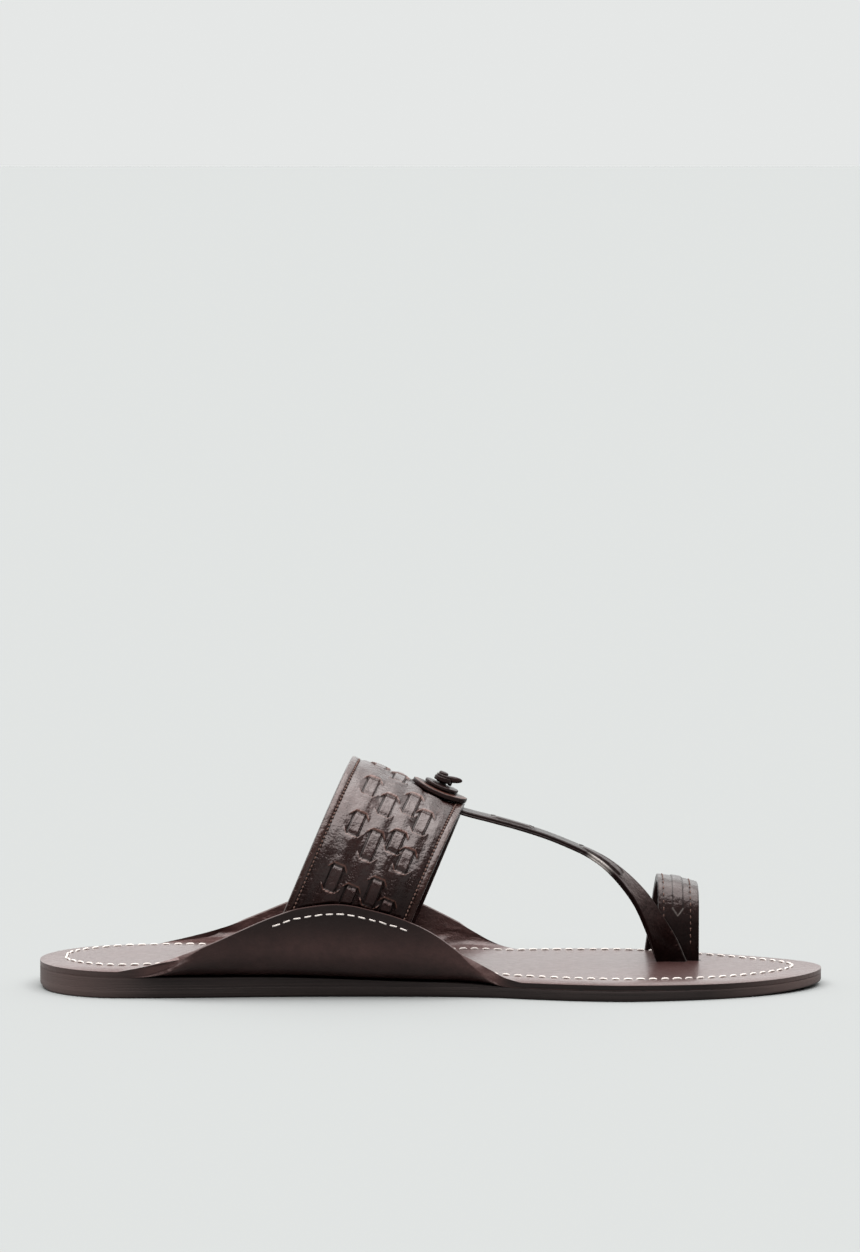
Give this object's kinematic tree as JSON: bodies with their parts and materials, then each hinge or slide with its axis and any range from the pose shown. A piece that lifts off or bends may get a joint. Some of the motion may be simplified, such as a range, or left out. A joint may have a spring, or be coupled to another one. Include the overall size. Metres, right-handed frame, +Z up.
{
  "type": "toe post sandal",
  "caption": "Flat leather slip-on sandal, right shoe: winged footbed, laced instep band, strap to a big-toe ring and a small rolled knot.",
  "frame": {"origin": "on the ground under the middle of the sole's length, on the heel's centre line", "axes": "+X from heel to toe, +Y to the inner (medial) side of the foot, +Z up"},
  "size_m": [0.255, 0.0799, 0.0745],
  "materials": {
    "footbed_leather": "smooth dyed leather with a soft sheen",
    "band_leather": "polished dark brown leather, laced",
    "sole_leather": "dense sole leather, dyed dark edges",
    "strap_leather": "dark brown strap leather"
  },
  "bodies": {
    "root": {"outsole": "sole_leather", "heel_wedge": "sole_leather", "winged_footbed": "footbed_leather", "instep_band": "band_leather", "toe_strap": "strap_leather", "toe_ring": "strap_leather", "oval_patch": "strap_leather", "knot_disc": "strap_leather", "thong_knot": "strap_leather"}
  },
  "joints": []
}
